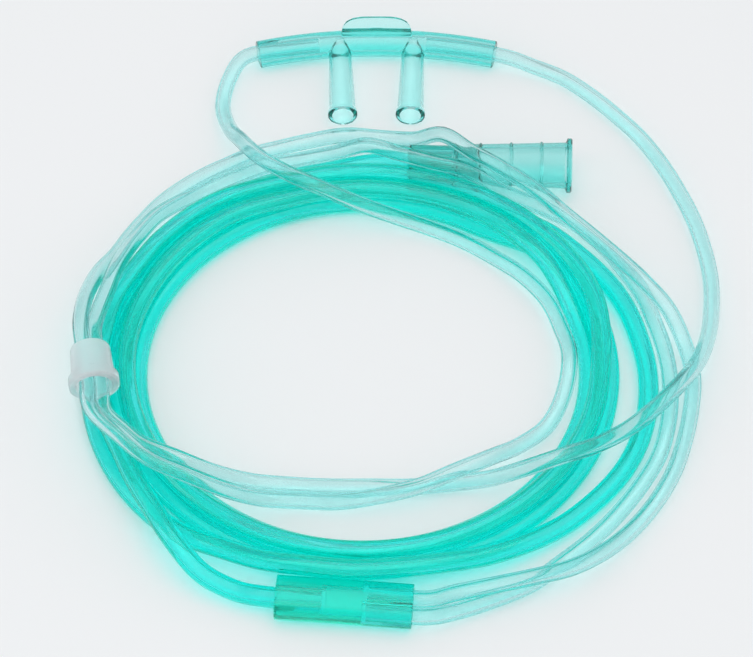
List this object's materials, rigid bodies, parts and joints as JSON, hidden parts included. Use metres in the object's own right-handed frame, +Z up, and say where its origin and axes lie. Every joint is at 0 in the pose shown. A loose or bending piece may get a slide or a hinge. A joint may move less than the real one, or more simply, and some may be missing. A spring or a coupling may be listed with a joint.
{
  "type": "nasal_oxygen_cannula",
  "caption": "nasal oxygen cannula of clear teal tubing, laid down in a loose coil, with curved nasal prongs, a frosted ring slider and a tapered outlet connector",
  "frame": {"origin": "on the floor, under the middle of the box round the nosepiece, slider and the two connectors", "axes": "+Z up off the floor; +Y towards the nosepiece, away from the viewer; +X to the viewer's right, where the outlet connector's mouth points"},
  "size_m": [0.1501, 0.1712, 0.0212],
  "materials": {
    "teal_tube": "clear, teal-tinted soft vinyl tube",
    "pale_tube": "clear, lightly tinted thin vinyl tube",
    "teal_fitting": "clear, teal-tinted moulded soft vinyl",
    "frosted_slider": "frosted translucent white"
  },
  "bodies": {
    "cannula": {"nosepiece": "teal_fitting", "lariat_left": "pale_tube", "lariat_right": "pale_tube", "y_connector": "teal_fitting", "supply_lead": "teal_tube", "supply_coil": "teal_tube", "supply_outer_turn": "teal_tube", "outlet_connector": "teal_fitting"},
    "slider": {"slider": "frosted_slider"}
  },
  "joints": [
    {"name": "slider_slide", "type": "slide", "parent": "cannula", "child": "slider", "axis": [-0.1564, 0.9877, 0], "range_m": [-0.003, 0.004]}
  ]
}
